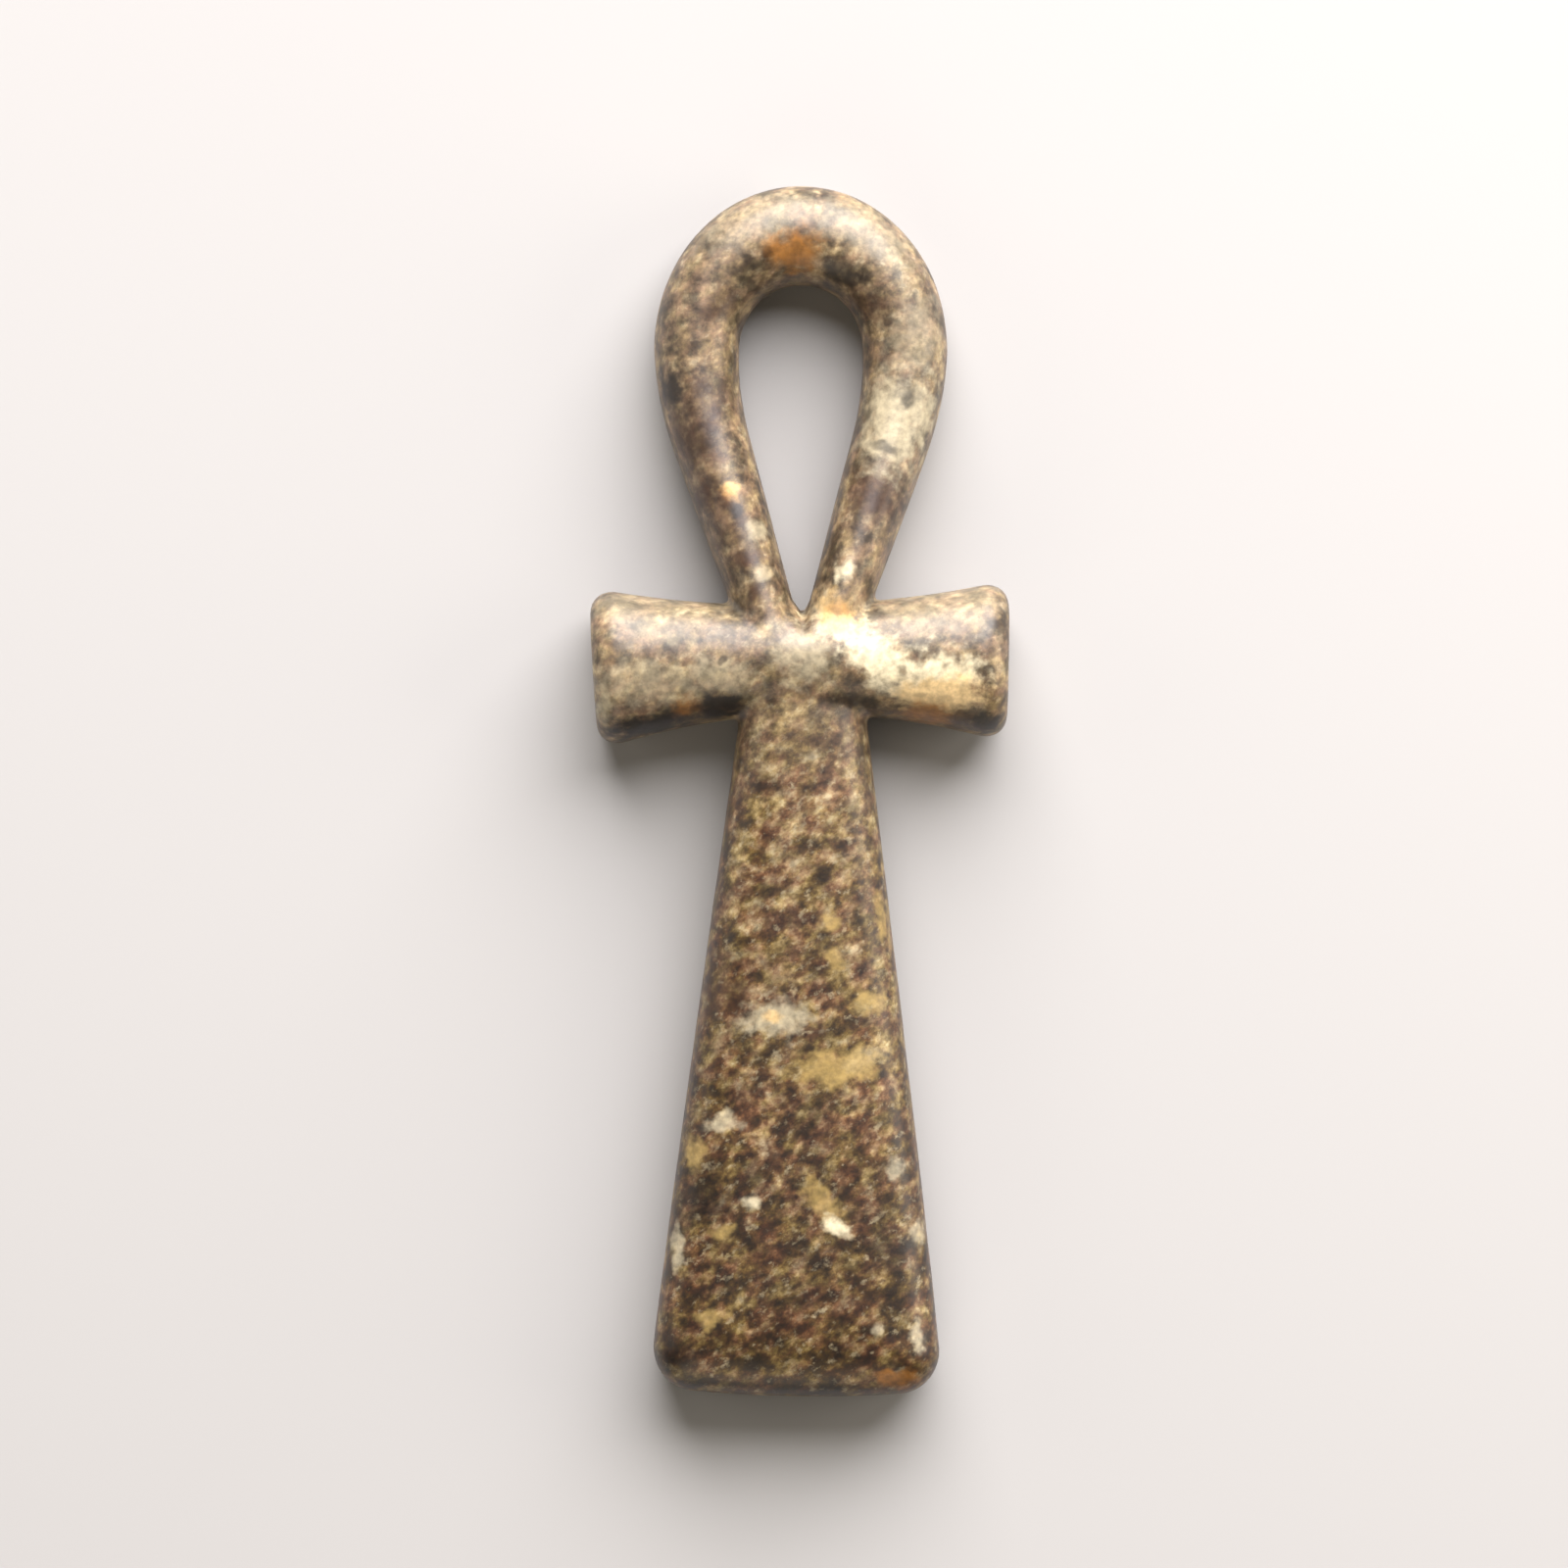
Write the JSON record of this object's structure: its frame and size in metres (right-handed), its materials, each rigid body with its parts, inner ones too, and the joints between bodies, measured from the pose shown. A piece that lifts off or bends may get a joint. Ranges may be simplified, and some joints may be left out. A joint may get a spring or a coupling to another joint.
{
  "type": "ankh amulet",
  "caption": "Ankh amulet carved from one piece of mottled polished stone: a teardrop loop on a crossbar with flared arms, over a shaft that widens to a rounded foot.",
  "frame": {"origin": "on the flat back, under the middle of the amulet's outline", "axes": "+Y along the amulet from its foot to the top of its loop, +Z out of the flat back toward the carved front, +X toward the right arm as seen from the front"},
  "size_m": [0.0206, 0.06, 0.0068],
  "materials": {
    "stone": "mottled hard stone, hand polished"
  },
  "bodies": {
    "root": {"ankh": "stone"}
  },
  "joints": []
}
